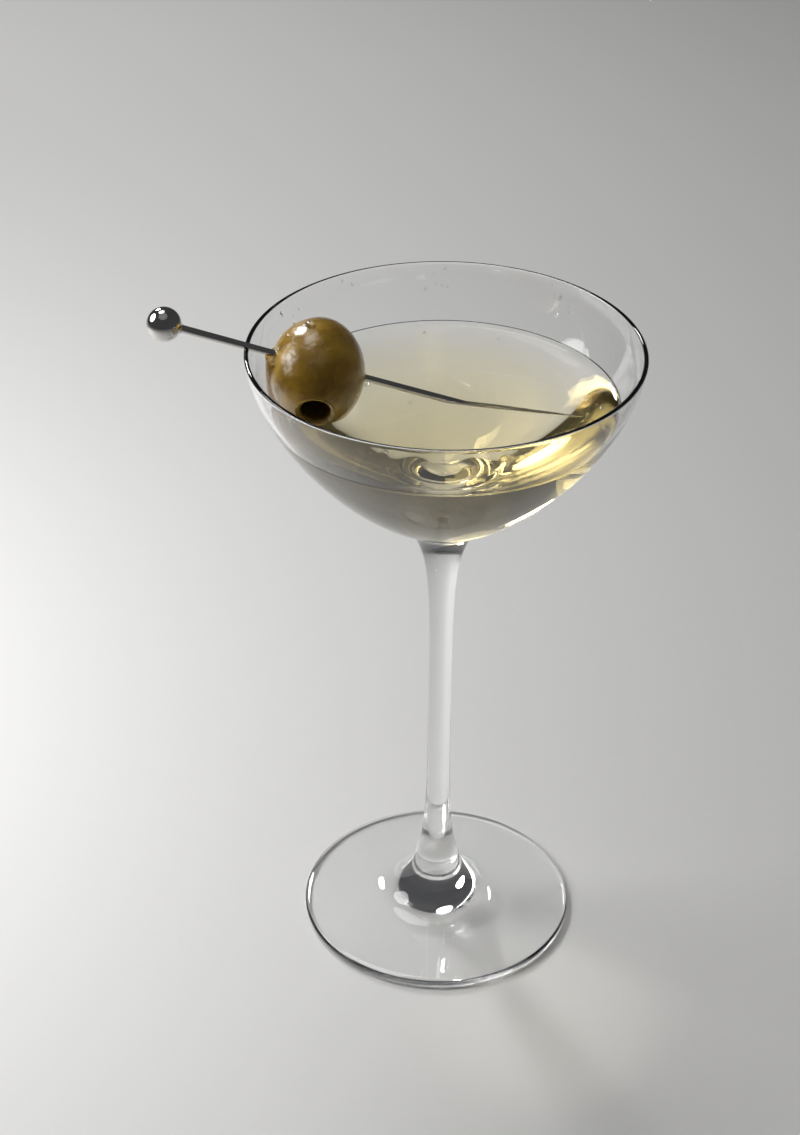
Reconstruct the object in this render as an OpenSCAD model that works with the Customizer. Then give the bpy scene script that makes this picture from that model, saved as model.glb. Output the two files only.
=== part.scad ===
// A martini in a stemmed coupe, with one pitted olive on a steel pick.
// Origin at the centre of the foot's underside, +Z up. The pick runs along X, with its ball at -X.

/* [Glass] */
// Height of the glass, from the surface it stands on to the top of the rim
glass_h = 166; // [150:1:190]
// Outer diameter of the rim
rim_d = 93; // [88:1:100]
// Depth of the bowl, outside, from the top of the rim to its virtual lowest point
bowl_depth = 49.5; // [46:0.5:54]
// Thickness of the wall at the rim, which ends in a half-round bead
wall_t = 1.1; // [1:0.1:1.5]
// Thickness of glass between the drink and the top of the stem
bottom_t = 3; // [2.5:0.1:4]
// Diameter of the stem at its waist
stem_d = 5.8; // [5:0.1:8]
// Diameter of the foot
foot_d = 70; // [64:1:80]
// Thickness of the foot's rounded edge
foot_edge_t = 2.2; // [1.8:0.1:3]
// Height of the foot's cone where it would meet the stem's axis
foot_cone_h = 6.4; // [5:0.1:8]
// Height of the shallow hollow under the foot
foot_hollow_h = 1; // [0.5:0.1:1.5]

/* [Drink] */
// Distance from the top of the rim down to the drink's level
drink_below_rim = 15; // [13:0.5:16]
// Height that the drink climbs where it meets the glass
meniscus_h = 1.3; // [0.5:0.1:2]

/* [Pick] */
// Distance from the middle of the ball to the tip
pick_len = 102.2; // [99:0.1:106]
// Diameter of the ball at the pick's end
ball_d = 8.1; // [7:0.1:9]
// Diameter of the shaft
shaft_d = 1.7; // [1.4:0.1:2]
// Diameter of the shaft where it thickens to meet the ball
neck_d = 2; // [1.9:0.1:2.6]
// Length of the taper that ends in the tip
tip_taper = 22; // [15:1:30]
// Distance of the tip below the top of the rim, where it touches the bowl
tip_below_rim = 24.8; // [23:0.1:27]
// Direction of the tip about the glass's axis, in degrees
tip_turn = 7.7; // [5:0.1:10]
// Direction of the place where the pick lies on the rim, in degrees
rest_turn = 182.6; // [181:0.1:184]

/* [Olive] */
// Length of the olive
olive_len = 27.6; // [27:0.1:29]
// Width of the olive
olive_d = 22.2; // [21:0.1:22.6]
// How much fuller the pitted end is than the other
olive_egg = 0.02; // [0:0.005:0.06]
// Diameter of the hole that the pit left
pit_d = 6.8; // [6:0.1:7.5]
// Depth of that hole
pit_depth = 17; // [14:0.5:18]
// Radius of the soft lip around the hole
pit_lip = 1.1; // [0.8:0.1:1.5]
// Angle of the pitted end below the horizontal, in degrees
olive_dip = 20; // [16:1:24]
// Distance along the pick from the tip to the middle of the olive
olive_on_pick = 65.6; // [64:0.1:67]
// How far the olive's middle hangs below the pick
olive_sag = 1.3; // [0.8:0.1:1.5]

/* [Hidden] */
$fn = 96;

gap = 0.03;                 // air left between pieces that touch
rim_r = rim_d / 2;
bead_r = wall_t / 2;        // the rim's half-round bead
bead_z = glass_h - bead_r;  // its centre
bowl_q = 1.5;               // exponents of the superellipses outside and inside the bowl
well_q = 1.53;
bowl_h = bowl_depth - bead_r;
well_r = rim_r - wall_t;
well_h = bowl_h - bottom_t;

stem_r = stem_d / 2;
top_flare_k = 7.5;          // height over which the flare under the bowl grows by e
top_flare_r = 3.2;          // how far that flare stands out of the stem ...
top_flare_z = glass_h - 52.2; // ... at this height
foot_flare_k = 8.8;         // the same for the flare above the foot
foot_flare_r = 5.25;
foot_flare_z = 10.3;
join_r = 14;                // radius at which the bowl's underside is clear of the flare
blend_k = 1.4;              // sharpness of the join between flare and bowl, per mm
blend_p = 5;                // sharpness of the join between flare and foot
foot_r = foot_d / 2;
foot_edge_r = foot_edge_t / 2;
foot_rest_r = foot_r - foot_edge_r; // outer radius of the flat ring that the glass stands on
foot_ring_r = foot_rest_r - 3;      // and its inner radius
steps = 28;                 // points on each long curve

drink_z = glass_h - drink_below_rim;
contact_z = drink_z + meniscus_h;
meniscus_k = 1.3;           // distance over which the drink's climb falls by e
meniscus_w = 6;             // distance from the glass at which it is too small to draw

ball_r = ball_d / 2;
shaft_r = shaft_d / 2;
neck_r = neck_d / 2;
neck_len = 26;              // the neck's taper, from the middle of the ball
tip_r = 0.16;               // radius of the blunted tip
tip_air = 0.35;             // its distance from the slanting wall, measured level
taper_belly = 0.6;          // radius halfway along the tip's taper, as a part of both ends' sum
rest_air = 0.06;            // air between the shaft and the rim's bead

olive_a = olive_len / 2;
olive_b = olive_d / 2;
pit_r = pit_d / 2;
olive_roll = 28;            // which way the olive hangs off the pick, as a turn from straight down towards -Y

// Point on a quarter of a superellipse with radius r, height h and exponent q, at parameter t degrees
function quarter(r, h, q, t) = [r * pow(cos(t), 2 / q), -h * pow(sin(t), 2 / q)];

// Arc about c with radius r, from angle a0 to a1
function arc(c, r, a0, a1, n) = [for (i = [0:n]) let (a = a0 + (a1 - a0) * i / n) c + r * [cos(a), sin(a)]];

// Values from a to b in n steps, each the same ratio to the last
function ratio_steps(a, b, n) = [for (i = [0:n]) a * pow(b / a, i / n)];

// Height of the outside of the bowl and of the flare below it, at radius r
function bowl_z(r) = bead_z - bowl_h * pow(1 - pow(r / rim_r, bowl_q), 1 / bowl_q);
function top_flare(r) = top_flare_z + top_flare_k * ln((r - stem_r) / top_flare_r);
function soft_min(a, b) = b - ln(1 + exp(blend_k * (b - a))) / blend_k;
function underside(r) = soft_min(bowl_z(r), top_flare(r));

// Height of the foot's top and of the flare above it, at radius r
function cone_z(r) = foot_cone_h + (foot_edge_t - foot_cone_h) * r / foot_rest_r;
function foot_flare(r) = max(0, foot_flare_z - foot_flare_k * ln((r - stem_r) / foot_flare_r));
function foot_top(r) = pow(pow(cone_z(r), blend_p) + pow(foot_flare(r), blend_p), 1 / blend_p);

least = 0.02;               // the flares start this far out of the stem
join_t = acos(pow(join_r / rim_r, bowl_q / 2));

foot_path = concat(
    [for (i = [0:10]) [foot_ring_r * i / 10, foot_hollow_h * (1 - pow(i / 10, 2))]],
    arc([foot_rest_r, foot_edge_r], foot_edge_r, -90, 78, 12),
    [for (e = ratio_steps(foot_rest_r - 1 - stem_r, least, steps)) [stem_r + e, foot_top(stem_r + e)]]);

bowl_path = concat(
    [for (e = ratio_steps(least, join_r - stem_r, steps)) [stem_r + e, underside(stem_r + e)]],
    [for (i = [1:steps - 1]) [0, bead_z] + quarter(rim_r, bowl_h, bowl_q, join_t * (1 - i / steps))],
    arc([rim_r - bead_r, bead_z], bead_r, 0, 180, 10));

well_path = [for (i = [1:2 * steps]) [0, bead_z] + quarter(well_r, well_h, well_q, 90 * i / (2 * steps))];

// Radius of the inside of the bowl at height z, on the straight stretches between the well's points
function well_at(z) = lookup(z, [for (p = well_path) [p.y, p.x]]);

// The pick's line: its tip touches the bowl, and its shaft lies on the rim
function along(v) = [0, acos(v.z / norm(v)), atan2(v.y, v.x)];
tip_z = glass_h - tip_below_rim;
tip_in = well_at(tip_z) - tip_r - tip_air;
tip_at = [tip_in * cos(tip_turn), tip_in * sin(tip_turn), tip_z];
rest_low = [(rim_r - bead_r) * cos(rest_turn), (rim_r - bead_r) * sin(rest_turn), bead_z];
rest_tilt = atan((bead_z + bead_r + shaft_r - tip_z) / (tip_in + rim_r));
rest_at = rest_low + [0, 0, (bead_r + shaft_r + rest_air) / cos(rest_tilt)];
pick_dir = (rest_at - tip_at) / norm(rest_at - tip_at);
olive_at = tip_at + olive_on_pick * pick_dir + olive_sag * [0, -sin(olive_roll), -cos(olive_roll)];

module glass() {
    color([0.86, 0.88, 0.89, 0.35])
        rotate_extrude() polygon(concat(foot_path, bowl_path, well_path));
}

// The drink fills the bowl up to its level and climbs a little at the wall
module drink_body() {
    wall_r = well_at(contact_z);
    rotate_extrude() polygon(concat(
        [for (p = well_path) if (p.y < contact_z - 0.05) [p.x, p.y]],
        [[0, drink_z]],
        [for (i = [0:8]) let (s = meniscus_w * pow(1 - i / 8, 2))
            [wall_r - s, drink_z + meniscus_h * exp(-s / meniscus_k)]]));
}

module drink() {
    color([0.78, 0.75, 0.52, 0.6]) difference() {
        drink_body();
        olive_place() rotate_extrude() polygon(concat(
            [[0, -olive_a - gap]], olive_side(gap, 88), [[0, olive_a + gap]]));
        pick_body(gap);
    }
}

// Half outline of the olive, from its stem end up to angle t1 towards the pitted end, grown by g
function olive_side(g, t1) = [for (i = [1:36]) let (t = -90 + (t1 + 90) * i / 36)
    [(olive_b + g) * cos(t) * (1 + olive_egg * sin(t)), (olive_a + g) * sin(t)]];

module olive_place() {
    translate(olive_at) rotate([90 + olive_dip, 0, 0]) children();
}

module olive() {
    lip_t = acos((pit_r + pit_lip) / (olive_b * (1 + olive_egg)));
    lip_z = olive_a * sin(lip_t);
    color([0.56, 0.52, 0.16]) difference() {
        olive_place() rotate_extrude() polygon(concat(
            [[0, -olive_a]],
            olive_side(0, lip_t),
            arc([pit_r + pit_lip, lip_z - pit_lip], pit_lip, 85, 180, 6),
            arc([0, lip_z - pit_depth + pit_r], pit_r, 0, -90, 8)));
        pick_body(gap);
    }
}

// The pick from tip to ball, with its radius grown by g
module pick_body(g = 0) {
    meet_z = pick_len - sqrt(pow(ball_r + g, 2) - pow(neck_r + g, 2));
    meet_a = asin((neck_r + g) / (ball_r + g));
    translate(tip_at) rotate(along(pick_dir)) rotate_extrude($fn = 48) polygon(concat(
        arc([0, tip_r], tip_r + g, -90, 0, 4),
        [[(shaft_r + tip_r) * taper_belly + g, tip_taper / 2], [shaft_r + g, tip_taper]],
        [[shaft_r + g, pick_len - neck_len], [neck_r + g, meet_z]],
        arc([0, pick_len], ball_r + g, -90 + meet_a, 90, 20)));
}

module pick() {
    color([0.62, 0.62, 0.64]) pick_body();
}

glass();
drink();
olive();
pick();
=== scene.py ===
import math
import random

import bmesh
import bpy
from mathutils import Matrix, Vector, noise


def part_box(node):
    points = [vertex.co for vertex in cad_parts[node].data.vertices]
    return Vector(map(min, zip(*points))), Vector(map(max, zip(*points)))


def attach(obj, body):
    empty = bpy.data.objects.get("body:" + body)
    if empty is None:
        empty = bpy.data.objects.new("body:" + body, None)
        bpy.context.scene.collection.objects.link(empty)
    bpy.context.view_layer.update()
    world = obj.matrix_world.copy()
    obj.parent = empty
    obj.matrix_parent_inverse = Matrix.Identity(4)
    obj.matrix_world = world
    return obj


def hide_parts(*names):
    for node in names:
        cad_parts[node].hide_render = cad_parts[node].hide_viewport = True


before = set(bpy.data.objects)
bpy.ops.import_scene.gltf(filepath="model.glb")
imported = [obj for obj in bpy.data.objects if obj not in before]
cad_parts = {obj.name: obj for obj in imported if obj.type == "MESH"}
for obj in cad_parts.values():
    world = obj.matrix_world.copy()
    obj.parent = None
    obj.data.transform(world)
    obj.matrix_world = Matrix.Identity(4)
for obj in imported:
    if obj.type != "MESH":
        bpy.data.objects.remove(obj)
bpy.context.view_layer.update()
print("frame loaded")
mm = 0.001
up = Vector((0, 0, 1))
mergeGap = 0.004 * mm     # points closer than this become one
slimGap = 0.001 * mm      # edges shorter than this are taken out
tiny = 1e-9               # keeps a division clear of zero


# small helpers for every piece

def spinOutline(bm, outline, segments):
    # turns a half outline of (radius, height) points about Z into a closed skin
    dots = [bm.verts.new((r, 0, z)) for r, z in outline]
    lines = [bm.edges.new(pair) for pair in zip(dots, dots[1:])]
    bmesh.ops.spin(bm, geom=dots + lines, cent=(0, 0, 0), axis=up, dvec=(0, 0, 0),
                   angle=2 * math.pi, steps=segments, use_merge=True)


def arcPoints(cx, cz, radius, startDeg, endDeg, count):
    turns = [math.radians(startDeg + (endDeg - startDeg) * i / count) for i in range(count + 1)]
    return [(cx + radius * math.cos(t), cz + radius * math.sin(t)) for t in turns]


def steppedRatio(start, end, count):
    return [start * (end / start) ** (i / count) for i in range(count + 1)]


def makePiece(bm, name, material, replaced=()):
    bmesh.ops.remove_doubles(bm, verts=bm.verts, dist=mergeGap)
    bmesh.ops.dissolve_degenerate(bm, edges=bm.edges, dist=slimGap)
    bmesh.ops.recalc_face_normals(bm, faces=bm.faces)
    for face in bm.faces:
        face.smooth = True
    mesh = bpy.data.meshes.new(name)
    bm.to_mesh(mesh)
    bm.free()
    mesh.materials.append(material)
    piece = bpy.data.objects.new(name, mesh)
    bpy.context.collection.objects.link(piece)
    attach(piece, "root")
    if replaced:
        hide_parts(*replaced)
    print(name, len(mesh.polygons), "faces")
    return piece


# shader helpers

def newMaterial(name):
    material = bpy.data.materials.new(name)
    material.use_nodes = True
    tree = material.node_tree
    return material, tree.nodes, tree.links, tree.nodes["Principled BSDF"]


def addRamp(nodes, stops):
    ramp = nodes.new("ShaderNodeValToRGB")
    while len(ramp.color_ramp.elements) < len(stops):
        ramp.color_ramp.elements.new(0.5)
    for element, (place, colour) in zip(ramp.color_ramp.elements, stops):
        element.position = place
        element.color = (*colour, 1)
    return ramp


def addNoise(nodes, links, vector, size, detail=2, swirl=0):
    noiseTex = nodes.new("ShaderNodeTexNoise")
    noiseTex.inputs["Scale"].default_value = size
    noiseTex.inputs["Detail"].default_value = detail
    noiseTex.inputs["Distortion"].default_value = swirl
    links.new(vector, noiseTex.inputs["Vector"])
    return noiseTex.outputs["Fac"]


def addTone(nodes, links, factor, stops, socket):
    ramp = addRamp(nodes, stops)
    links.new(factor, ramp.inputs["Fac"])
    links.new(ramp.outputs["Color"], socket)


def addBump(nodes, links, height, strength, depth, socket):
    bump = nodes.new("ShaderNodeBump")
    bump.inputs["Strength"].default_value = strength
    bump.inputs["Distance"].default_value = depth
    links.new(height, bump.inputs["Height"])
    links.new(bump.outputs["Normal"], socket)


def addMix(nodes, links, factor, first, colour):
    # lays a plain colour over another, as far as the factor says; sockets 6 and 7 are the colours
    mix = nodes.new("ShaderNodeMix")
    mix.data_type = "RGBA"
    mix.inputs[7].default_value = (*colour, 1)
    links.new(factor, mix.inputs[0])
    links.new(first, mix.inputs[6])
    return mix.outputs[2]


def grey(v):
    return (v, v, v)


# faint wipe marks on the glass and the steel
marksLook = {"detail": 2, "fineDetail": 5, "fineTimes": 7, "start": 0.22, "end": 0.42}


def marksGroup():
    look = marksLook
    group = bpy.data.node_groups.new("handlingMarks", "ShaderNodeTree")
    group.interface.new_socket("Vector", in_out="INPUT", socket_type="NodeSocketVector")
    for name in ("Size", "Low", "High"):
        group.interface.new_socket(name, in_out="INPUT", socket_type="NodeSocketFloat")
    group.interface.new_socket("Roughness", in_out="OUTPUT", socket_type="NodeSocketFloat")
    nodes, links = group.nodes, group.links
    inward, outward = nodes.new("NodeGroupInput"), nodes.new("NodeGroupOutput")
    fineSize = nodes.new("ShaderNodeMath")
    fineSize.operation = "MULTIPLY"
    fineSize.inputs[1].default_value = look["fineTimes"]
    both = nodes.new("ShaderNodeMath")
    both.operation = "MULTIPLY"
    links.new(inward.outputs["Size"], fineSize.inputs[0])
    noises = ((inward.outputs["Size"], look["detail"]), (fineSize.outputs[0], look["fineDetail"]))
    for socket, (size, detail) in zip(both.inputs, noises):
        noiseTex = nodes.new("ShaderNodeTexNoise")
        noiseTex.inputs["Detail"].default_value = detail
        links.new(size, noiseTex.inputs["Scale"])
        links.new(inward.outputs["Vector"], noiseTex.inputs["Vector"])
        links.new(noiseTex.outputs["Fac"], socket)
    spread = nodes.new("ShaderNodeMapRange")
    spread.inputs["From Min"].default_value = look["start"]
    spread.inputs["From Max"].default_value = look["end"]
    links.new(both.outputs[0], spread.inputs["Value"])
    links.new(inward.outputs["Low"], spread.inputs["To Min"])
    links.new(inward.outputs["High"], spread.inputs["To Max"])
    links.new(spread.outputs["Result"], outward.inputs["Roughness"])
    return group


def addMarks(nodes, links, group, vector, marks, socket):
    wear = nodes.new("ShaderNodeGroup")
    wear.node_tree = group
    for name, value in zip(("Size", "Low", "High"), marks):
        wear.inputs[name].default_value = value
    links.new(vector, wear.inputs["Vector"])
    links.new(wear.outputs["Roughness"], socket)


# marks: size, lowest and highest roughness
clearGlassLook = {"ior": 1.5, "marks": (38, 0.0, 0.02), "tintSize": 20,
                  "tint": [(0.3, (0.99, 0.995, 0.995)), (0.7, (1.0, 1.0, 1.0))]}


def clearGlassMaterial(group):
    look = clearGlassLook
    material, nodes, links, shader = newMaterial("clearGlass")
    shader.inputs["Transmission Weight"].default_value = 1
    shader.inputs["IOR"].default_value = look["ior"]
    place = nodes.new("ShaderNodeTexCoord").outputs["Object"]
    addMarks(nodes, links, group, place, look["marks"], shader.inputs["Roughness"])
    tint = addNoise(nodes, links, place, look["tintSize"])
    addTone(nodes, links, tint, look["tint"], shader.inputs["Base Color"])
    return material


liquidLook = {
    "ior": 1.345, "hazeSize": 60, "hazeDetail": 3, "hazeSwirl": 1.5,
    "clear": (0.99, 0.99, 0.98), "cloudEnd": 0.35, "clearStart": 0.65,
    "roughness": [(0.4, grey(0.0)), (0.8, grey(0.01))],
    "paleMartini": {"absorb": (0.97, 0.86, 0.44), "density": 26, "cloud": (0.96, 0.96, 0.94)},
    "clingingDrops": {"absorb": (1, 1, 1), "density": 0, "cloud": (0.97, 0.97, 0.95)},
}


def liquidMaterial(name):
    look, kind = liquidLook, liquidLook[name]
    material, nodes, links, shader = newMaterial(name)
    shader.inputs["Transmission Weight"].default_value = 1
    shader.inputs["IOR"].default_value = look["ior"]
    place = nodes.new("ShaderNodeTexCoord").outputs["Object"]
    haze = addNoise(nodes, links, place, look["hazeSize"], look["hazeDetail"], look["hazeSwirl"])
    tint = [(look["cloudEnd"], kind["cloud"]), (look["clearStart"], look["clear"])]
    addTone(nodes, links, haze, tint, shader.inputs["Base Color"])
    addTone(nodes, links, haze, look["roughness"], shader.inputs["Roughness"])
    if kind["density"] > 0:
        body = nodes.new("ShaderNodeVolumeAbsorption")
        body.inputs["Color"].default_value = (*kind["absorb"], 1)
        body.inputs["Density"].default_value = kind["density"]
        links.new(body.outputs["Volume"], nodes["Material Output"].inputs["Volume"])
    return material


oliveSkinLook = {
    "mottleSize": 130, "mottleDetail": 4, "mottleSwirl": 0.6,
    "skin": [(0.25, (0.2, 0.107, 0.004)), (0.5, (0.385, 0.215, 0.01)), (0.75, (0.53, 0.32, 0.024))],
    "speckleSize": 520, "speckle": (0.62, 0.47, 0.2), "patchSize": 210,
    "speckleFade": [(0.0, grey(0.55)), (0.16, grey(0.3)), (0.36, grey(0))],
    "patches": [(0.5, grey(0)), (0.68, grey(1))],
    # the pit colour is painted shade, laid on deeper inside the hole
    "pit": (0.13, 0.075, 0.012), "roughness": [(0.3, grey(0.22)), (0.7, grey(0.38))],
    "poreSize": 900, "poreDetail": 3, "poreStrength": 0.5, "poreDepth": 0.16 * mm,
    "filmSize": 800, "filmStrength": 0.8, "filmDepth": 0.3 * mm,
    "flesh": 0.18, "fleshRadius": (1.0, 0.62, 0.16), "fleshScale": 1.8 * mm,
    "coatRoughness": 0.07, "coatIor": 1.36,
}


def oliveMaterial():
    look = oliveSkinLook
    material, nodes, links, shader = newMaterial("oliveSkin")
    place = nodes.new("ShaderNodeTexCoord").outputs["Object"]
    mottle = addNoise(nodes, links, place, look["mottleSize"], look["mottleDetail"], look["mottleSwirl"])
    speckles = nodes.new("ShaderNodeTexVoronoi")
    speckles.inputs["Scale"].default_value = look["speckleSize"]
    speckles.inputs["Randomness"].default_value = 1
    links.new(place, speckles.inputs["Vector"])
    fade = addRamp(nodes, look["speckleFade"])
    fade.color_ramp.interpolation = "EASE"
    links.new(speckles.outputs["Distance"], fade.inputs["Fac"])
    patchy = nodes.new("ShaderNodeMath")          # speckles come in patches
    patchy.operation = "MULTIPLY"
    links.new(fade.outputs["Color"], patchy.inputs[0])
    patches = addNoise(nodes, links, place, look["patchSize"])
    addTone(nodes, links, patches, look["patches"], patchy.inputs[1])
    skin = addRamp(nodes, look["skin"])
    links.new(mottle, skin.inputs["Fac"])
    speckled = addMix(nodes, links, patchy.outputs[0], skin.outputs["Color"], look["speckle"])
    # painted shade: the skin darkens to the pit colour deeper inside the hole, as the pitDepth attribute says
    pitDepth = nodes.new("ShaderNodeAttribute")
    pitDepth.attribute_name = "pitDepth"
    skinWithPitShade = addMix(nodes, links, pitDepth.outputs["Fac"], speckled, look["pit"])
    links.new(skinWithPitShade, shader.inputs["Base Color"])
    addTone(nodes, links, mottle, look["roughness"], shader.inputs["Roughness"])
    pores = addNoise(nodes, links, place, look["poreSize"], look["poreDetail"])
    addBump(nodes, links, pores, look["poreStrength"], look["poreDepth"], shader.inputs["Normal"])
    film = addNoise(nodes, links, place, look["filmSize"])    # the wet film breaks up its reflections
    addBump(nodes, links, film, look["filmStrength"], look["filmDepth"], shader.inputs["Coat Normal"])
    shader.inputs["Subsurface Weight"].default_value = look["flesh"]
    shader.inputs["Subsurface Radius"].default_value = look["fleshRadius"]
    shader.inputs["Subsurface Scale"].default_value = look["fleshScale"]
    shader.inputs["Coat Weight"].default_value = 1
    shader.inputs["Coat Roughness"].default_value = look["coatRoughness"]
    shader.inputs["Coat IOR"].default_value = look["coatIor"]
    return material


steelLook = {
    "marks": (260, 0.05, 0.17), "toneSize": 160,
    "tone": [(0.3, (0.56, 0.545, 0.52)), (0.7, (0.66, 0.645, 0.62))],
    "lineTurn": (0, -18, 4.7), "lineScale": (60, 4000, 4000),    # polishing lines run along the shaft
    "lineStrength": 0.12, "lineDepth": 0.01 * mm,
}


def steelMaterial(group):
    look = steelLook
    material, nodes, links, shader = newMaterial("polishedSteel")
    shader.inputs["Metallic"].default_value = 1
    place = nodes.new("ShaderNodeTexCoord").outputs["Object"]
    addMarks(nodes, links, group, place, look["marks"], shader.inputs["Roughness"])
    tone = addNoise(nodes, links, place, look["toneSize"])
    addTone(nodes, links, tone, look["tone"], shader.inputs["Base Color"])
    drawn = nodes.new("ShaderNodeMapping")
    drawn.inputs["Rotation"].default_value = [math.radians(d) for d in look["lineTurn"]]
    drawn.inputs["Scale"].default_value = look["lineScale"]
    links.new(place, drawn.inputs["Vector"])
    lines = addNoise(nodes, links, drawn.outputs["Vector"], 1)
    addBump(nodes, links, lines, look["lineStrength"], look["lineDepth"], shader.inputs["Normal"])
    return material


# the glass: bowl, stem and foot in one outline

glassLook = {
    "wall": 1.1 * mm, "bowlDepth": 49.5 * mm, "bottom": 3 * mm,
    "bowlPower": 1.5, "wellPower": 1.53,
    "stemRadius": 2.9 * mm, "footRadius": 35 * mm, "footEdge": 2.2 * mm, "footCone": 6.4 * mm,
    "hollow": 1 * mm, "ring": 3 * mm,
    "topFlare": (7.5 * mm, 3.2 * mm, 52.2 * mm),     # growth height, reach, depth below the rim
    "footFlare": (8.8 * mm, 5.25 * mm, 10.3 * mm),   # growth height, reach, height
    "footBlend": 5, "bowlBlend": 1.4 / mm,           # how sharply each flare meets its neighbour
    "join": 14 * mm,                                 # radius where the flare's curve hands over to the bowl's
    "finest": 0.02 * mm, "flareInset": 1 * mm, "edgeEnd": 78,
    "hollowSteps": 16, "edgeSteps": 14, "flareSteps": 70, "bowlSteps": 50, "innerSteps": 70,
    "wellSteps": 90, "segments": 160,
}
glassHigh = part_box("glass")[1]
rimRadius, rimHeight = glassHigh.x, glassHigh.z
beadHeight = rimHeight - glassLook["wall"] / 2


def quarterPoint(radius, height, power, deg):
    t = math.radians(deg)
    return radius * max(math.cos(t), 0) ** (2 / power), beadHeight - height * math.sin(t) ** (2 / power)


def wellOutline(grown=0, count=glassLook["wellSteps"]):
    # inside of the bowl from the bead down to the axis, grown into the wall
    look = glassLook
    radius = rimRadius - look["wall"] + grown
    height = look["bowlDepth"] - look["wall"] / 2 - look["bottom"] + grown
    return [quarterPoint(radius, height, look["wellPower"], 90 * i / count) for i in range(count + 1)]


def radiusAt(outline, height):
    for (r0, z0), (r1, z1) in zip(outline, outline[1:]):
        if z0 >= height >= z1:
            return r0 + (r1 - r0) * (z0 - height) / max(z0 - z1, tiny)
    return outline[0][0]


def glassOutline():
    look = glassLook
    bowlHeight = look["bowlDepth"] - look["wall"] / 2
    stem = look["stemRadius"]
    restRadius = look["footRadius"] - look["footEdge"] / 2
    ringRadius = restRadius - look["ring"]

    def footTop(r):
        grow, reach, height = look["footFlare"]
        cone = look["footCone"] + (look["footEdge"] - look["footCone"]) * r / restRadius
        flare = max(0, height - grow * math.log((r - stem) / reach))
        return (cone ** look["footBlend"] + flare ** look["footBlend"]) ** (1 / look["footBlend"])

    def underside(r):
        grow, reach, depth = look["topFlare"]
        bowl = beadHeight - bowlHeight * (1 - (r / rimRadius) ** look["bowlPower"]) ** (1 / look["bowlPower"])
        flare = rimHeight - depth + grow * math.log((r - stem) / reach)
        return flare - math.log(1 + math.exp(look["bowlBlend"] * (flare - bowl))) / look["bowlBlend"]

    joinDeg = math.degrees(math.acos((look["join"] / rimRadius) ** (look["bowlPower"] / 2)))
    halfEdge, halfWall, steps = look["footEdge"] / 2, look["wall"] / 2, look["hollowSteps"]
    footReach = restRadius - look["flareInset"] - stem
    outline = [(ringRadius * i / steps, look["hollow"] * (1 - (i / steps) ** 2)) for i in range(steps + 1)]
    outline += arcPoints(restRadius, halfEdge, halfEdge, -90, look["edgeEnd"], look["edgeSteps"])
    outline += [(stem + e, footTop(stem + e))
                for e in steppedRatio(footReach, look["finest"], look["flareSteps"])]
    outline += [(stem + e, underside(stem + e))
                for e in steppedRatio(look["finest"], look["join"] - stem, look["flareSteps"])]
    outline += [quarterPoint(rimRadius, bowlHeight, look["bowlPower"], joinDeg * (1 - i / look["bowlSteps"]))
                for i in range(1, look["bowlSteps"])]
    outline += arcPoints(rimRadius - halfWall, beadHeight, halfWall, 0, 180, look["edgeSteps"])
    return outline + wellOutline(0, look["innerSteps"])[1:]


def makeGlass(material):
    bm = bmesh.new()
    spinOutline(bm, glassOutline(), glassLook["segments"])
    return makePiece(bm, "coupeGlass", material, ["glass"])


# where the pick and the olive lie, from their boxes

pickLook = {"ball": 4.05 * mm, "neck": 1.0 * mm, "shaft": 0.85 * mm, "tip": 0.16 * mm, "taper": 22 * mm,
            "neckLength": 26 * mm, "collar": 0.55 * mm, "bulge": 0.4, "filletDeg": 9,
            "tipSteps": 6, "taperSteps": 12, "neckSteps": 8, "filletSteps": 6, "ballSteps": 40,
            "segments": 48}
pickLow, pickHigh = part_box("pick")
ballCentre = Vector((pickLow.x, pickLow.y, pickHigh.z)) + pickLook["ball"] * Vector((1, 1, -1))
tipPoint = Vector((pickHigh.x, pickHigh.y, pickLow.z)) + pickLook["tip"] * Vector((-1, -1, 1))
pickLine = (ballCentre - tipPoint).normalized()
pickLength = (ballCentre - tipPoint).length

oliveLook = {"half": 13.8 * mm, "side": 11.1 * mm, "egg": 0.02, "dip": 20, "pit": 3.4 * mm, "lip": 1.1 * mm,
             "pitDepth": 17 * mm, "pitShade": 1.8 * mm, "pitEdge": 0.35, "pitBelow": 1 * mm, "lipStart": 80,
             "lipSteps": 10, "pitSteps": 14, "floorSteps": 12, "segments": 168, "rings": 110}
oliveLow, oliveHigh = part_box("olive")
# the box is cut short at the hole, so its middle is set back to the olive's own
oliveCentre = Vector(((oliveLow.x + oliveHigh.x) / 2, (oliveLow.y + oliveHigh.y) / 2, oliveHigh.z))
oliveTurn = Matrix.Rotation(math.radians(90 + oliveLook["dip"]), 4, "X")


def oliveReach(direction):
    # half height of the tilted olive along a direction
    local = oliveTurn.inverted().to_3x3() @ direction
    return math.sqrt((oliveLook["side"] * local.x) ** 2 + (oliveLook["side"] * local.y) ** 2
                     + (oliveLook["half"] * local.z) ** 2)


oliveCentre.z -= oliveReach(up)
oliveCentre.y = oliveHigh.y - oliveReach(Vector((0, 1, 0)))
olivePlace = Matrix.Translation(oliveCentre) @ oliveTurn


def onPick(distance):
    return tipPoint + pickLine * distance


def pickThroughOlive():
    # the two points where the pick's line meets the olive's skin
    toLocal = olivePlace.inverted()
    a, d = toLocal @ tipPoint, toLocal.to_3x3() @ pickLine
    squeeze = Vector((1 / oliveLook["side"], 1 / oliveLook["side"], 1 / oliveLook["half"]))
    a = Vector(x * s for x, s in zip(a, squeeze))
    d = Vector(x * s for x, s in zip(d, squeeze))
    half = a.dot(d)
    root = math.sqrt(half * half - d.dot(d) * (a.dot(a) - 1))
    return onPick((-half - root) / d.dot(d)), onPick((-half + root) / d.dot(d))


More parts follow.
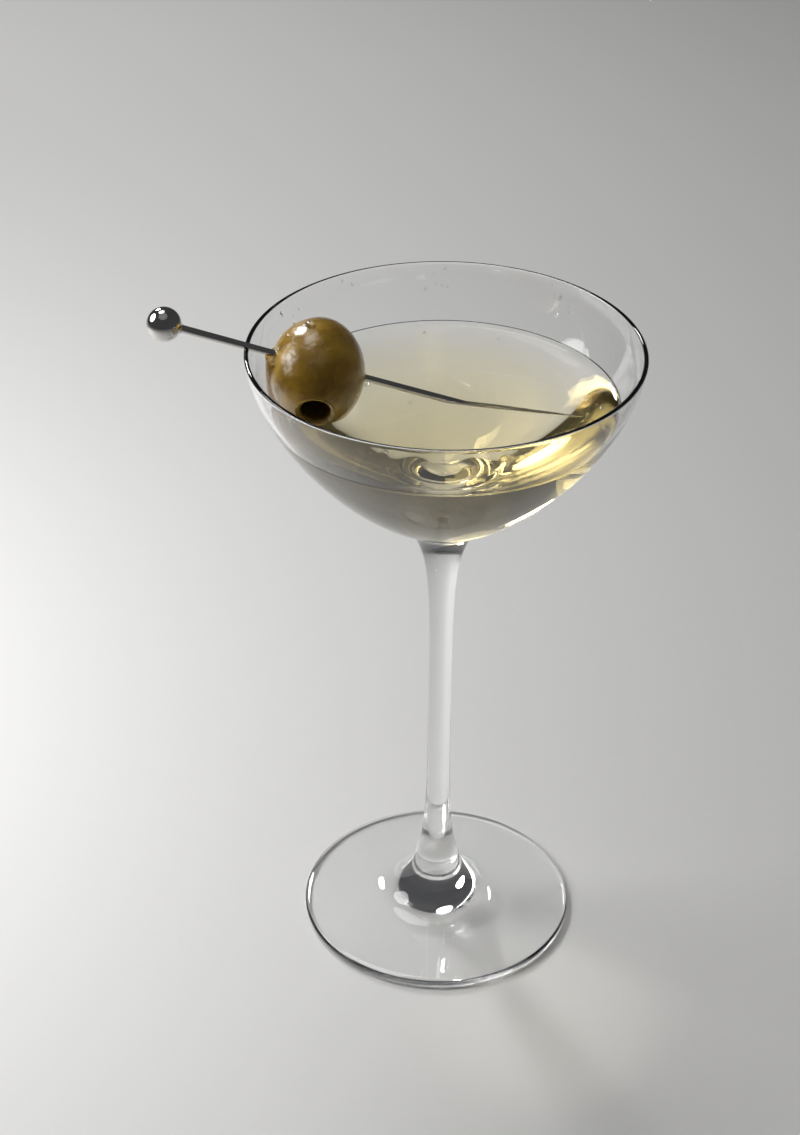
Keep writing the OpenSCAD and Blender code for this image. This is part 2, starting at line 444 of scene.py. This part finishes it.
def makePick(material):
    look = pickLook
    meet = pickLength - math.sqrt(look["ball"] ** 2 - look["neck"] ** 2)
    meetDeg = math.degrees(math.asin(look["neck"] / look["ball"]))
    outline = arcPoints(0, look["tip"], look["tip"], -90, 0, look["tipSteps"])
    for i in range(1, look["taperSteps"] + 1):
        part = i / look["taperSteps"]
        grow = look["tip"] + (look["shaft"] - look["tip"]) * (part + look["bulge"] * part * (1 - part))
        outline.append((grow, look["tip"] + (look["taper"] - look["tip"]) * part))
    neckStart, neckEnd = pickLength - look["neckLength"], meet - look["collar"]
    for i in range(1, look["taperSteps"] + 1):
        outline.append((look["shaft"], look["taper"] + (neckStart - look["taper"]) * i / look["taperSteps"]))
    for i in range(1, look["neckSteps"] + 1):
        part = i / look["neckSteps"]
        outline.append((look["shaft"] + (look["neck"] - look["shaft"]) * part,
                        neckStart + (neckEnd - neckStart) * part))
    # solder fillet between shaft and ball
    filletEnd = meetDeg + look["filletDeg"]
    edge = math.radians(filletEnd)
    start, end = outline[-1], (look["ball"] * math.sin(edge), pickLength - look["ball"] * math.cos(edge))
    corner = (look["neck"], meet)
    for i in range(1, look["filletSteps"] + 1):
        t = i / look["filletSteps"]
        bend = zip(start, corner, end)
        outline.append(tuple((1 - t) ** 2 * s + 2 * t * (1 - t) * c + t * t * e for s, c, e in bend))
    outline += arcPoints(0, pickLength, look["ball"], -90 + filletEnd, 90, look["ballSteps"])[1:]
    bm = bmesh.new()
    spinOutline(bm, outline, look["segments"])
    pickPlace = Matrix.Translation(tipPoint) @ pickLine.to_track_quat("Z", "Y").to_matrix().to_4x4()
    bmesh.ops.transform(bm, verts=bm.verts, matrix=pickPlace)
    return makePiece(bm, "olivePick", material, ["pick"])


# the olive: egg shape, soft hole, small lumps, and flesh pushed about by the pick

oliveRelief = {"lump": 0.2 * mm, "lumpSize": 6.5 * mm, "ripple": 0.055 * mm, "rippleSize": 1.9 * mm,
               "entryDip": 0.45 * mm, "entryWidth": 1.5 * mm, "exitLift": 0.75 * mm, "exitWidth": 1.15 * mm,
               "scar": 1.5 * mm, "scarDepth": 0.45 * mm, "scarHub": 0.7, "scarHubPinch": 9,
               "rippleShift": Vector((7, 3, 1))}


def makeOlive(material):
    look, relief = oliveLook, oliveRelief
    lipDeg = math.degrees(math.acos((look["pit"] + look["lip"]) / (look["side"] * (1 + look["egg"]))))
    lipHeight = look["half"] * math.sin(math.radians(lipDeg))
    outline = []
    for i in range(look["rings"] + 1):
        t = math.radians(-90 + (lipDeg + 90) * i / look["rings"])
        width = look["side"] * math.cos(t) * (1 + look["egg"] * math.sin(t))
        outline.append((max(width, 0), look["half"] * math.sin(t)))
    pitTop, steps = lipHeight - look["lip"], look["pitSteps"]
    pitFloor = lipHeight - look["pitDepth"] + look["pit"]
    outline += arcPoints(look["pit"] + look["lip"], pitTop, look["lip"], look["lipStart"], 180,
                         look["lipSteps"])
    outline += [(look["pit"], pitTop + (pitFloor - pitTop) * i / steps) for i in range(1, steps)]
    outline += arcPoints(0, pitFloor, look["pit"], 0, -90, look["floorSteps"])
    bm = bmesh.new()
    spinOutline(bm, outline, look["segments"])
    bmesh.ops.remove_doubles(bm, verts=bm.verts, dist=mergeGap)
    bmesh.ops.transform(bm, verts=bm.verts, matrix=olivePlace)
    bmesh.ops.recalc_face_normals(bm, faces=bm.faces)
    bm.normal_update()
    exitPoint, entryPoint = pickThroughOlive()
    toLocal = olivePlace.inverted()
    # pitDepth holds painted shade: how deep a point lies in the hole, which darkens its colour
    pitShadeLayer = bm.verts.layers.float.new("pitDepth")
    moves = []
    for v in bm.verts:
        local = toLocal @ v.co
        radial = math.hypot(local.x, local.y)
        deepEnough = local.z > lipHeight - look["pitDepth"] - look["pitBelow"]
        inPit = radial < look["pit"] + look["pitEdge"] * look["lip"] and deepEnough
        v[pitShadeLayer] = min(1, max(0, (lipHeight - local.z) / look["pitShade"])) if inPit else 0
        push = relief["lump"] * noise.noise(local / relief["lumpSize"])
        push += relief["ripple"] * noise.noise(local / relief["rippleSize"] + relief["rippleShift"])
        move = v.normal * push
        if not inPit:
            near = (v.co - entryPoint).length / relief["entryWidth"]
            move -= pickLine * relief["entryDip"] * math.exp(-near * near)
            near = (v.co - exitPoint).length / relief["exitWidth"]
            move -= pickLine * relief["exitLift"] * math.exp(-near * near)
            if local.z < 0:
                near = radial / relief["scar"]
                hub = relief["scarHub"] * math.exp(-relief["scarHubPinch"] * near * near)
                move -= v.normal * relief["scarDepth"] * math.exp(-near * near) * (1 - hub)
        moves.append(move)
    for v, move in zip(bm.verts, moves):
        v.co += move
    return makePiece(bm, "greenOlive", material, ["olive"])


# the drink: fills the bowl, reaches into the wall, and climbs at glass, olive and pick

drinkLook = {"climb": 1.3 * mm, "climbFade": 1.3 * mm, "intoWall": 0.3 * mm, "segments": 256,
             "oliveClimb": 1.5 * mm, "oliveFade": 1.1 * mm, "pickClimb": 0.3 * mm,
             "pickShift": 1.2 * mm, "pickAlong": 2.2 * mm, "pickBeside": 0.9 * mm,
             "wallClear": 0.2 * mm, "firstGap": 0.04 * mm, "gapGrowth": 1.16, "gaps": 26,
             "ringStep": 0.45 * mm, "flatSlack": 0.01 * mm}
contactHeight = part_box("drink")[1].z
drinkLevel = contactHeight - drinkLook["climb"]


def oliveSlice(height):
    # centre and half widths of the olive's level cut at a height, as an ellipse
    turn = oliveTurn.to_3x3()
    shape = Matrix.Diagonal((oliveLook["side"] ** -2, oliveLook["side"] ** -2, oliveLook["half"] ** -2))
    form = turn @ shape @ turn.transposed()
    dz = height - oliveCentre.z
    shift = -form[1][2] / form[1][1] * dz
    left = 1 - (form[2][2] - form[1][2] ** 2 / form[1][1]) * dz * dz
    left = max(left, 0)
    return oliveCentre.x, oliveCentre.y + shift, math.sqrt(left / form[0][0]), math.sqrt(left / form[1][1])


def makeDrink(material):
    look = drinkLook
    well = wellOutline(look["intoWall"])
    wallRadius = radiusAt(well, contactHeight)
    trueWall = radiusAt(wellOutline(), contactHeight)
    wallTop = contactHeight - look["wallClear"]
    outline = [(0, well[-1][1])] + [point for point in reversed(well[:-1]) if point[1] < wallTop]
    outline.append((wallRadius, contactHeight))
    reach = trueWall - look["firstGap"]
    # rings stand closer where the climb is steep
    radii = [trueWall - look["firstGap"] * look["gapGrowth"] ** i for i in range(look["gaps"])]
    inner = radii[-1]
    count = round(inner / look["ringStep"])
    radii += [inner * (1 - i / count) for i in range(1, count + 1)]
    for radius in radii:
        rise = look["climb"] * math.exp(-(trueWall - radius) / look["climbFade"])
        outline.append((radius, drinkLevel + rise))
    bm = bmesh.new()
    spinOutline(bm, outline, look["segments"])
    cx, cy, ax, ay = oliveSlice(drinkLevel + look["oliveClimb"])
    entry = onPick((drinkLevel - tipPoint.z) / pickLine.z)
    along = Vector((pickLine.x, pickLine.y)).normalized()
    for v in bm.verts:
        if v.co.z < drinkLevel - look["flatSlack"] or v.co.xy.length > reach:
            continue
        dx, dy = v.co.x - cx, v.co.y - cy
        q = math.hypot(dx / ax, dy / ay)
        gap = max(0, (q - 1) * math.hypot(dx, dy) / max(q, tiny))
        climb = look["oliveClimb"] * math.exp(-gap / look["oliveFade"])
        beside = v.co.xy - entry.xy
        lengthways = (beside.dot(along) - look["pickShift"]) / look["pickAlong"]
        sideways = (beside.x * -along.y + beside.y * along.x) / look["pickBeside"]
        climb += look["pickClimb"] * math.exp(-lengthways ** 2 - sideways ** 2)
        v.co.z = max(v.co.z, drinkLevel + climb)
    return makePiece(bm, "martiniDrink", material, ["drink"])


# drops, bubbles and specks

def addDrop(bm, place, outward, lengthways, length, width, height, segments=20):
    # a flat round bead that sits half in the surface under it
    side = outward.cross(lengthways).normalized()
    front = side.cross(outward).normalized()
    turn = Matrix((front, side, outward)).transposed().to_4x4()
    size = Matrix.Diagonal((length / 2, width / 2, height, 1))
    bmesh.ops.create_uvsphere(bm, u_segments=segments, v_segments=segments // 2, radius=1,
                              matrix=Matrix.Translation(place) @ turn @ size)


def oliveSkin(latitude, longitude):
    # point and outward direction on the skin; latitude runs to the hole, longitude 0 faces the tip side
    lat, lon = math.radians(latitude), math.radians(longitude)
    a, b = oliveLook["half"], oliveLook["side"]
    local = Vector((b * math.cos(lat) * math.cos(lon), -b * math.cos(lat) * math.sin(lon), a * math.sin(lat)))
    slope = Vector((local.x / b ** 2, local.y / b ** 2, local.z / a ** 2)).normalized()
    return olivePlace @ local, olivePlace.to_3x3() @ slope


# latitude, longitude, length, width and height in mm of the drops that stand on the olive
oliveDrops = [(-21, -99, 3.4, 2.2, 0.75), (27, -95, 1.1, 0.95, 0.5), (11, -74, 0.8, 0.8, 0.4),
              (-8, -54, 0.7, 0.6, 0.35), (47, -52, 1.1, 0.9, 0.45), (39, -43, 0.6, 0.6, 0.3),
              (49, -29, 0.7, 0.7, 0.35), (-14, -128, 0.9, 0.7, 0.35), (-2, -140, 0.6, 0.5, 0.3),
              (-6, -120, 0.5, 0.5, 0.3), (4, -128, 0.7, 0.5, 0.3), (12, -146, 0.8, 0.6, 0.3),
              (-40, -130, 0.8, 0.7, 0.35), (5, -165, 1.0, 0.8, 0.4), (-30, 60, 0.9, 0.8, 0.4),
              (20, 100, 0.7, 0.6, 0.35), (-12, 130, 1.3, 0.9, 0.45)]
dropRun = Vector((0.3, -0.5, -0.8))       # the way drops on the olive are drawn out
hangingDrop = {"back": 0.55 * mm, "below": 0.35 * mm, "size": (1.5 * mm, 1.1 * mm, 0.85 * mm)}
wallDrops = {
    "seed": 11, "patches": ((47, 58, 12), (88, 97, 8), (100, 340, 12)),    # first and last degree, count
    "depth": (1.2, 6.5), "size": (0.25, 0.75), "stretch": 1.25, "flatness": 0.12, "segments": 12,
    "slopeStep": 0.3 * mm,
}


def makeOliveDrops(material):
    bm = bmesh.new()
    for latitude, longitude, length, width, height in oliveDrops:
        place, outward = oliveSkin(latitude, longitude)
        addDrop(bm, place, outward, dropRun, length * mm, width * mm, height * mm)
    exitPoint = pickThroughOlive()[0]
    below = pickLook["shaft"] + hangingDrop["below"]
    addDrop(bm, exitPoint - pickLine * hangingDrop["back"] - up * below, -up, pickLine, *hangingDrop["size"])
    return makePiece(bm, "dropsOnOlive", material)


def makeWallDrops(material):
    look = wallDrops
    draw = random.Random(look["seed"])
    well = wellOutline()
    bm = bmesh.new()
    step = look["slopeStep"]
    for low, high, count in look["patches"]:
        for i in range(count):
            turn = math.radians(draw.uniform(low, high))
            height = rimHeight - draw.uniform(*look["depth"]) * mm
            size = draw.uniform(*look["size"]) * mm
            radius = radiusAt(well, height)
            slope = (radiusAt(well, height + step) - radiusAt(well, height - step)) / (2 * step)
            c, s = math.cos(turn), math.sin(turn)
            inward = Vector((-c, -s, slope)).normalized()
            addDrop(bm, Vector((radius * c, radius * s, height)), inward, -up, size * look["stretch"], size,
                    size * look["flatness"], look["segments"])
    return makePiece(bm, "dropsOnWall", material)


# the web of drink that hangs from the pick down the outer side of the olive
webLook = {"steps": 28, "halfTurn": 34, "middle": 0.75 * mm, "foot": 2.7 * mm, "head": 0.9 * mm,
           "sink": 0.35 * mm, "under": 0.15 * mm, "topDrop": 0.6, "pinch": 2.4,
           "footPower": 3, "headPower": 6}


def makeOliveWeb(material):
    look = webLook
    bm = bmesh.new()
    bmesh.ops.create_grid(bm, x_segments=look["steps"], y_segments=look["steps"], size=1)
    outer = bm.verts[:]
    top = pickThroughOlive()[1].z - pickLook["shaft"] * look["topDrop"]
    bottom = drinkLevel - look["under"]
    facing = math.atan2(pickLine.y, pickLine.x)
    for v in outer:
        across, rise = v.co.x, (v.co.y + 1) / 2
        height = bottom + (top - bottom) * rise
        cx, cy, ax, ay = oliveSlice(height)
        reach = look["middle"] + look["foot"] * (1 - rise) ** look["footPower"]
        reach += look["head"] * rise ** look["headPower"]
        reach = reach * math.exp(-(look["pinch"] * across) ** 2) - look["sink"] * across * across
        turn = facing + math.radians(look["halfTurn"]) * across
        v.co = Vector((cx + (ax + reach) * math.cos(turn), cy + (ay + reach) * math.sin(turn), height))
    made = bmesh.ops.extrude_face_region(bm, geom=bm.faces[:])
    for v in (item for item in made["geom"] if isinstance(item, bmesh.types.BMVert)):
        cx, cy, ax, ay = oliveSlice(v.co.z)
        beside = Vector((v.co.x - cx, v.co.y - cy))
        beside *= (ax - 2 * look["sink"]) / beside.length
        v.co.xy = Vector((cx, cy)) + beside
    return makePiece(bm, "webOnOlive", material)


# small bubbles that float at the edge of the drink, and fine specks hanging in it
speckLook = {"seed": 5, "count": 110, "size": (0.09, 0.2), "depth": (2, 26), "reach": (0.55, 0.96)}
bubbleLook = {
    "seed": 6, "count": 9, "size": (0.5, 1.0), "reach": (34.5, 37.5), "height": 0.45, "lift": 0.02 * mm,
    "besidePick": ((-10.9 * mm, -0.6 * mm), (3.5 * mm, -2.6 * mm)),    # from where the pick goes in
    "oliveClear": 2 * mm,
}


def makeSpecks(material):
    look = speckLook
    draw = random.Random(look["seed"])
    well = wellOutline()
    bm = bmesh.new()
    for i in range(look["count"]):
        height = drinkLevel - draw.uniform(*look["depth"]) * mm
        radius = radiusAt(well, height) * draw.uniform(*look["reach"])
        turn = draw.uniform(0, 2 * math.pi)
        size = draw.uniform(*look["size"]) * mm
        place = Matrix.Translation((radius * math.cos(turn), radius * math.sin(turn), height))
        bmesh.ops.create_icosphere(bm, subdivisions=1, radius=size / 2, matrix=place)
    return makePiece(bm, "specksInDrink", material)


def makeBubbles(material):
    look = bubbleLook
    draw = random.Random(look["seed"])
    entry = onPick((drinkLevel - tipPoint.z) / pickLine.z)
    cx, cy, ax, ay = oliveSlice(drinkLevel)
    bm = bmesh.new()
    places = [(entry.x + dx, entry.y + dy) for dx, dy in look["besidePick"]]
    for i in range(look["count"]):
        turn = draw.uniform(0, 2 * math.pi)
        reach = draw.uniform(*look["reach"]) * mm
        places.append((reach * math.cos(turn), reach * math.sin(turn)))
    for x, y in places:
        size = draw.uniform(*look["size"]) * mm
        if math.hypot((x - cx) / (ax + look["oliveClear"]), (y - cy) / (ay + look["oliveClear"])) < 1:
            continue
        onTop = Vector((x, y, drinkLevel + look["lift"]))
        addDrop(bm, onTop, up, Vector((1, 0, 0)), size, size, size * look["height"])
    return makePiece(bm, "bubblesOnDrink", material)


speckStuffLook = {"toneSize": 400, "tone": [(0.3, (0.72, 0.68, 0.55)), (0.7, (0.93, 0.91, 0.84))],
                  "roughness": 0.2}


def speckMaterial():
    look = speckStuffLook
    material, nodes, links, shader = newMaterial("paleSpecks")
    place = nodes.new("ShaderNodeTexCoord").outputs["Object"]
    tone = addNoise(nodes, links, place, look["toneSize"])
    addTone(nodes, links, tone, look["tone"], shader.inputs["Base Color"])
    shader.inputs["Roughness"].default_value = look["roughness"]
    return material


# studio

studio = {
    "floor": (0.78, 0.775, 0.76), "floorShade": 0.98, "floorToneSize": 3, "floorTone": (0.3, 0.7),
    "floorRoughness": 0.55,
    "floorSize": 8, "floorDrop": 0.06 * mm,    # just clear of the foot
    "world": (0.06, 0.061, 0.064), "view": "Standard", "look": "None", "exposure": 0.05, "clamp": 0,
    "bounces": 24, "glossyBounces": 8,
    "camera": {"place": (0, -478.3 * mm, 418.7 * mm), "down": 33.19, "turn": -1.23, "roll": 0.38,
               "lens": 74.32, "sensor": 36, "nearest": 0.01},
    # name: place, target, width, height, power, spread in degrees
    "softboxes": {
        "keyBackLeft": ((-0.3, 0.5, 1.25), (0, 0, 0.08), 0.6, 0.5, 1.8, 150),
        "sparkle": ((-0.45, 0.85, 0.62), (0, 0, 0.14), 0.24, 0.2, 2.8, 150),
        "poolLeft": ((-0.42, 0.07, 0.33), (-0.22, 0.0, 0), 0.3, 0.3, 0.85, 120),
        "topFill": ((-0.1, -0.2, 1.4), (0, 0, 0), 1.2, 1.2, 0.35, 120),
    },
}


def makeFloor():
    bm = bmesh.new()
    bmesh.ops.create_grid(bm, x_segments=1, y_segments=1, size=studio["floorSize"],
                          matrix=Matrix.Translation(-studio["floorDrop"] * up))
    mesh = bpy.data.meshes.new("studioFloor")
    bm.to_mesh(mesh)
    bm.free()
    floor = bpy.data.objects.new("studioFloor", mesh)
    bpy.context.collection.objects.link(floor)
    material, nodes, links, shader = newMaterial("paleFloor")
    place = nodes.new("ShaderNodeTexCoord").outputs["Object"]
    tone = addNoise(nodes, links, place, studio["floorToneSize"])
    shaded = [c * studio["floorShade"] for c in studio["floor"]]
    stops = zip(studio["floorTone"], (shaded, studio["floor"]))
    addTone(nodes, links, tone, list(stops), shader.inputs["Base Color"])
    shader.inputs["Roughness"].default_value = studio["floorRoughness"]
    mesh.materials.append(material)


def addSoftbox(name, place, target, width, height, power, spread):
    lamp = bpy.data.lights.new(name, "AREA")
    lamp.shape = "ELLIPSE"
    lamp.size, lamp.size_y = width, height
    lamp.energy = power
    lamp.spread = math.radians(spread)
    box = bpy.data.objects.new(name, lamp)
    box.location = place
    box.rotation_euler = (Vector(target) - Vector(place)).to_track_quat("-Z", "Y").to_euler()
    bpy.context.collection.objects.link(box)


def makeStudio():
    makeFloor()
    for name, settings in studio["softboxes"].items():
        addSoftbox(name, *settings)
    world = bpy.data.worlds.new("studioWorld")
    world.use_nodes = True
    world.node_tree.nodes["Background"].inputs["Color"].default_value = (*studio["world"], 1)
    scene = bpy.context.scene
    scene.world = world
    scene.view_settings.view_transform = studio["view"]
    scene.view_settings.look = studio["look"]
    scene.view_settings.exposure = studio["exposure"]
    scene.cycles.sample_clamp_indirect = studio["clamp"]
    scene.cycles.max_bounces = studio["bounces"]
    scene.cycles.transmission_bounces = studio["bounces"]
    scene.cycles.glossy_bounces = studio["glossyBounces"]
    scene.cycles.blur_glossy = 0       # keeps the light that falls through the foot


def makeCamera():
    view = studio["camera"]
    down, turn, roll = (math.radians(view[k]) for k in ("down", "turn", "roll"))
    forward = Vector((math.sin(turn) * math.cos(down), math.cos(turn) * math.cos(down), -math.sin(down)))
    right = Vector((math.cos(turn), -math.sin(turn), 0))
    above = right.cross(forward)
    sideAxis = right * math.cos(roll) + above * math.sin(roll)
    upAxis = above * math.cos(roll) - right * math.sin(roll)
    camera = bpy.data.objects.new("studioCamera", bpy.data.cameras.new("studioCamera"))
    camera.data.lens = view["lens"]
    camera.data.sensor_width = view["sensor"]
    camera.data.clip_start = view["nearest"]
    camera.rotation_mode = "QUATERNION"
    camera.rotation_quaternion = Matrix((sideAxis, upAxis, -forward)).transposed().to_quaternion()
    camera.location = view["place"]
    bpy.context.collection.objects.link(camera)
    bpy.context.scene.camera = camera


makeCamera()
makeStudio()
print("studio ready")
marks = marksGroup()
dropStuff = liquidMaterial("clingingDrops")
makeGlass(clearGlassMaterial(marks))
makePick(steelMaterial(marks))
makeOlive(oliveMaterial())
makeDrink(liquidMaterial("paleMartini"))
makeOliveDrops(dropStuff)
makeWallDrops(dropStuff)
makeOliveWeb(dropStuff)
makeBubbles(dropStuff)
makeSpecks(speckMaterial())
print("pieces ready")
